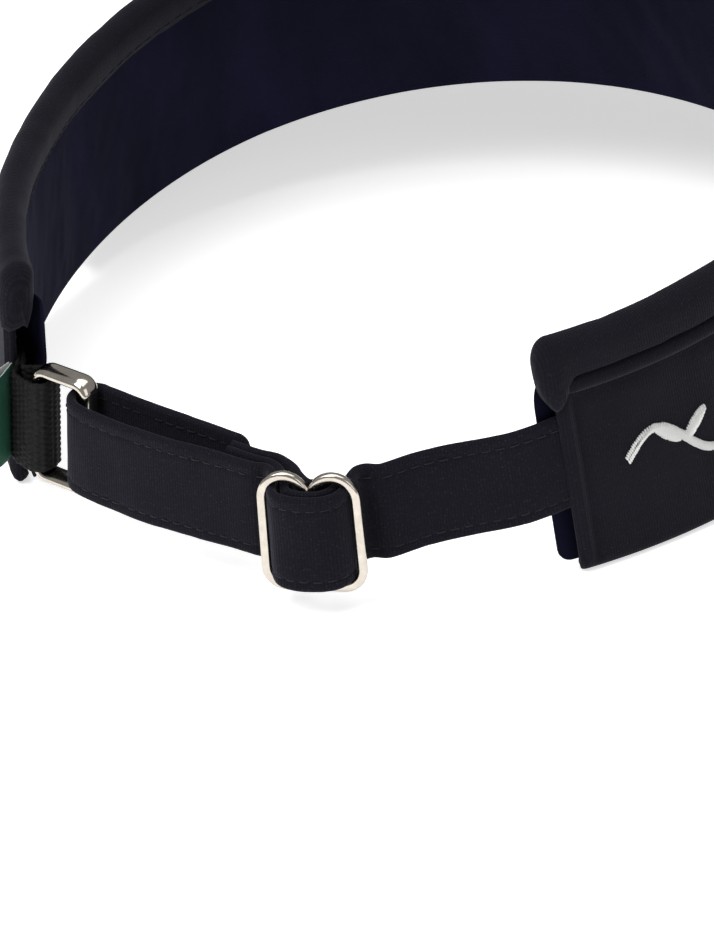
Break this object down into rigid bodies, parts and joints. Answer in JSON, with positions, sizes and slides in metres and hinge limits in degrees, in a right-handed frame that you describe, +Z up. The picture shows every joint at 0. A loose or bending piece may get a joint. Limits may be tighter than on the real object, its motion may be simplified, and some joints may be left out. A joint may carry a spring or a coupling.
{
  "type": "sun visor",
  "caption": "Open-crown sun visor: foam-padded fabric headband with a rolled top edge, curved bill, and a self-fabric back strap running through a wire slider and a metal ring.",
  "frame": {"origin": "middle of the visor's box, at the height of the table it stands on: it rests on the bill's two side edges and the headband's two rear lower corners", "axes": "+Z up, +Y from the bill towards the back strap, +X towards the wearer's left"},
  "size_m": [0.1904, 0.2652, 0.0748],
  "materials": {
    "outer_cloth": "fine matt knit, near black",
    "strap_cloth": "same knit, folded and topstitched",
    "satin_lining": "brushed navy satin",
    "foam": "open-cell foam",
    "buckram": "stiffened gauze",
    "bill_board": "flexible moulded sheet",
    "nickel": "polished nickel",
    "webbing": "ribbed nylon webbing",
    "label_ribbon": "woven satin ribbon",
    "embroidery_thread": "glossy rayon thread"
  },
  "bodies": {
    "headband": {"shell_left": "outer_cloth", "shell_right": "outer_cloth", "shell_front": "outer_cloth", "foam_left": "foam", "foam_right": "foam", "foam_front": "foam", "front_buckram": "buckram", "lining": "satin_lining", "top_roll_cover": "outer_cloth", "top_roll_foam": "foam", "top_piping": "outer_cloth", "bill_upper_cover": "outer_cloth", "bill_board": "bill_board", "bill_lower_cover": "outer_cloth", "strap_right_run": "strap_cloth", "strap_front_layer": "strap_cloth", "strap_back_layer": "strap_cloth", "webbing_tab_end": "webbing", "webbing_tab_loop": "webbing", "embroidery": "embroidery_thread"},
    "slider": {"slider": "nickel", "strap_over_bar": "strap_cloth", "strap_sewn_loop": "strap_cloth"},
    "ring": {"ring": "nickel", "strap_ring_fold": "strap_cloth"},
    "label": {"label": "label_ribbon"}
  },
  "joints": [
    {"name": "slider_travel", "type": "hinge", "parent": "headband", "child": "slider", "pos_m": [0, 0.03946, 0.02582], "axis": [0, 0.1132, 0.9936], "range_deg": [-18, 18], "deforming": ["strap_right_run", "strap_front_layer", "strap_back_layer"]},
    {"name": "ring_swivel", "type": "hinge", "parent": "headband", "child": "ring", "pos_m": [0.04989, 0.10524, 0.01832], "axis": [-0.0838, 0.0017, 0.9965], "range_deg": [-20, 20], "stiffness_Nm_per_rad": 0.003},
    {"name": "label_flap", "type": "hinge", "parent": "headband", "child": "label", "pos_m": [0.05838, 0.10243, 0.01864], "axis": [-0.0649, 0.0426, 0.997], "range_deg": [-30, 15], "stiffness_Nm_per_rad": 0.0003}
  ]
}
